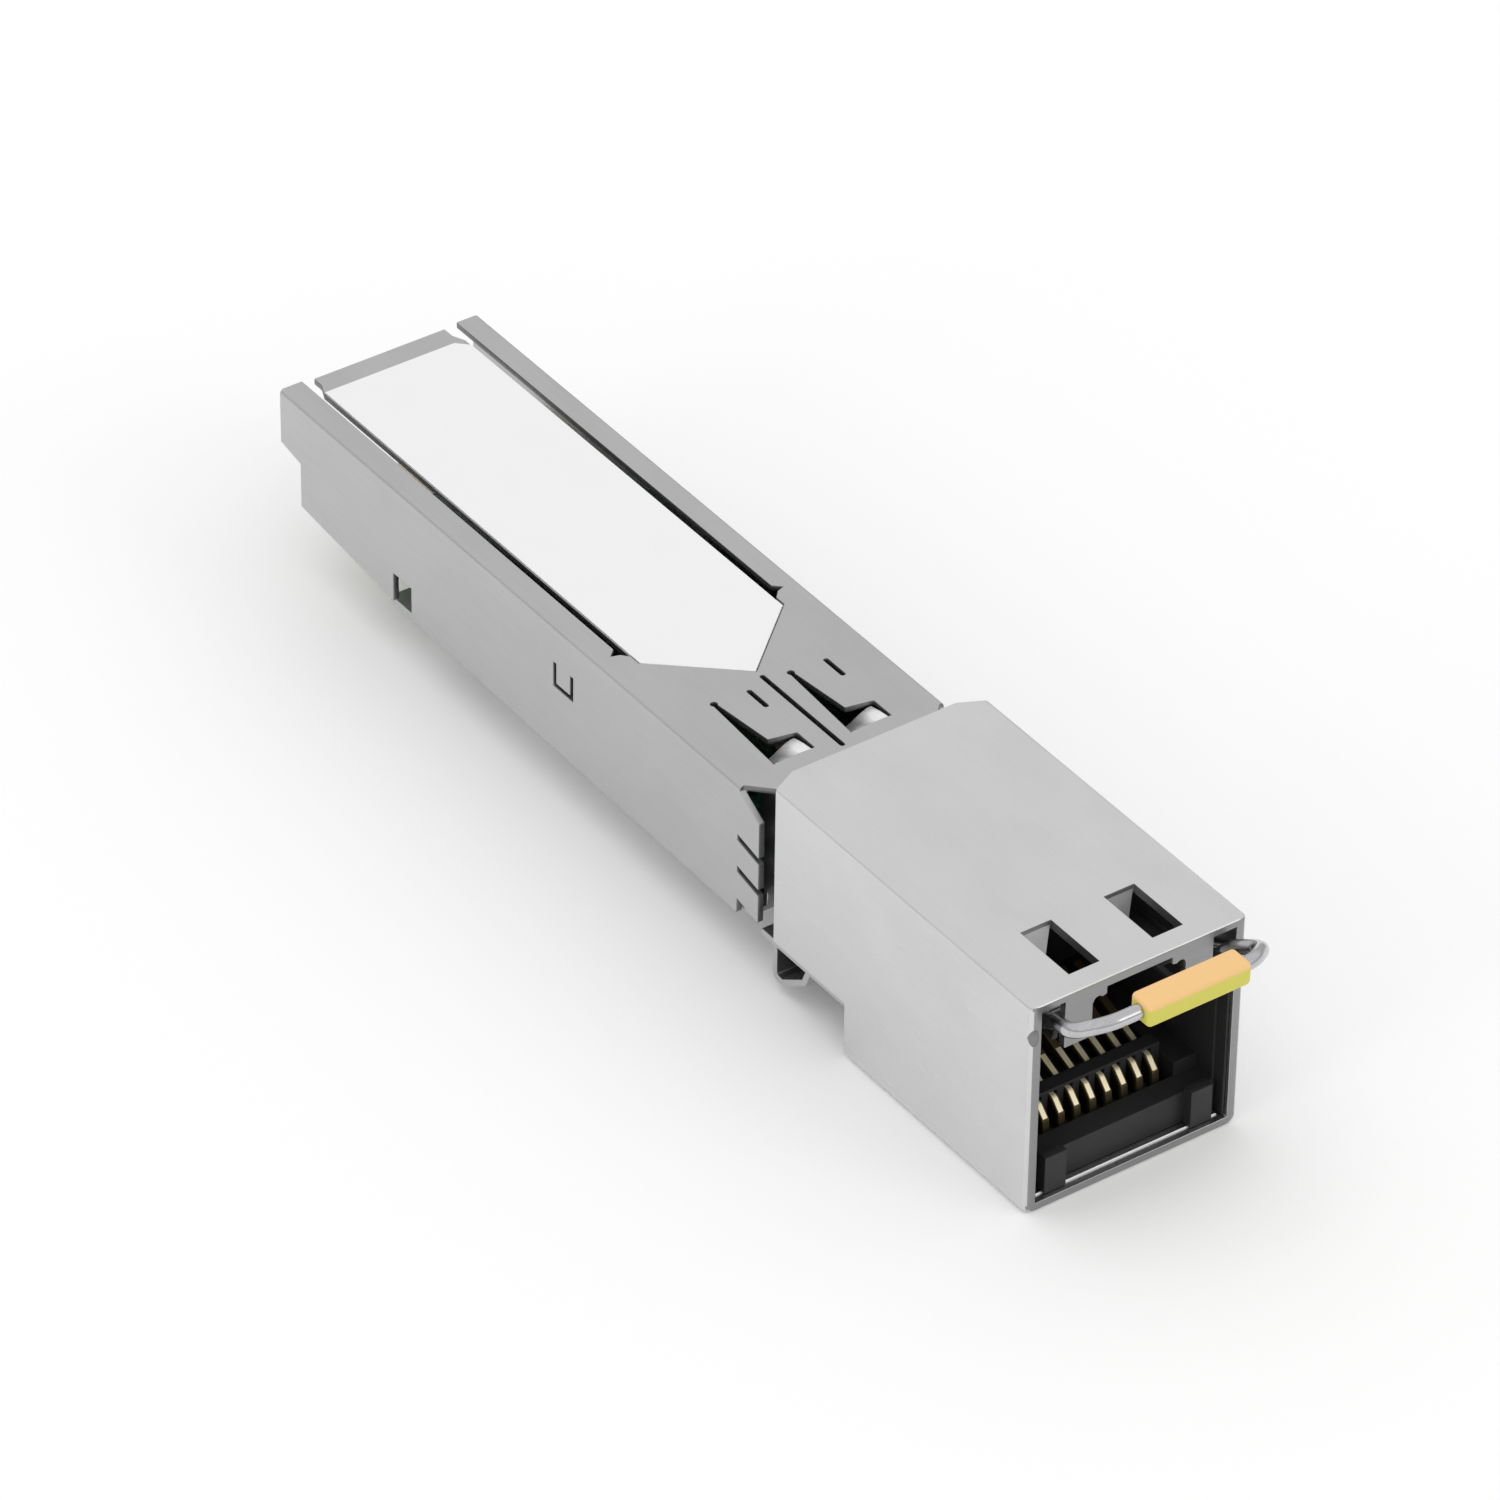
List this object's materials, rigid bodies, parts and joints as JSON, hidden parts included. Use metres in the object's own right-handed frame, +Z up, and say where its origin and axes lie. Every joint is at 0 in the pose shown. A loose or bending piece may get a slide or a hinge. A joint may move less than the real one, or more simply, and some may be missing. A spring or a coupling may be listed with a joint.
{
  "type": "sfp transceiver",
  "caption": "Small pluggable network transceiver: slim folded-metal body with a board edge, tall head with a copper plug socket, wire bail with a sleeve and a release slide.",
  "frame": {"origin": "on the centreline, where the plane of the head's rear shoulder meets the plane of the body's underside", "axes": "+X across the module, +Y along the body from the head towards the board's edge, +Z up from the underside to the label"},
  "size_m": [0.0138, 0.0751, 0.0148],
  "materials": {
    "body_metal": "satin",
    "head_metal": "satin",
    "label_film": "matte",
    "socket_plastic": "matte",
    "gold": "polished",
    "board": "satin",
    "chip_plastic": "matte",
    "crystal_metal": "satin",
    "ceramic": "matte",
    "wire": "polished",
    "sleeve_rubber": "satin"
  },
  "bodies": {
    "module": {"body_shell": "body_metal", "bottom_cover": "body_metal", "label": "label_film", "jack_shell": "head_metal", "jack_insert": "socket_plastic", "contact_comb": "socket_plastic", "contact_1": "gold", "contact_2": "gold", "contact_3": "gold", "contact_4": "gold", "contact_5": "gold", "contact_6": "gold", "contact_7": "gold", "contact_8": "gold", "main_board": "board", "edge_pads_top": "gold", "edge_pads_bottom": "gold", "phy_chip": "chip_plastic", "magnetics": "chip_plastic", "memory_chip": "chip_plastic", "crystal": "crystal_metal", "regulator": "chip_plastic", "capacitor_1": "ceramic", "capacitor_2": "ceramic", "capacitor_3": "ceramic", "coupling_capacitor_1": "ceramic", "coupling_capacitor_2": "ceramic", "coupling_capacitor_3": "ceramic", "coupling_capacitor_4": "ceramic"},
    "bail": {"bail_wire": "wire", "bail_sleeve": "sleeve_rubber"},
    "release": {"release_slide": "body_metal"}
  },
  "joints": [
    {"name": "bail_hinge", "type": "hinge", "parent": "module", "child": "bail", "pos_m": [0, -0.02176, 0.0085], "axis": [1, 0, 0], "range_deg": [0, 80]},
    {"name": "release_travel", "type": "slide", "parent": "module", "child": "release", "axis": [0, 1, 0], "range_m": [0, 0.001]}
  ],
  "couplings": [
    {"joint": "bail_hinge", "follows": "release_travel", "rad_per_m": 1396}
  ]
}
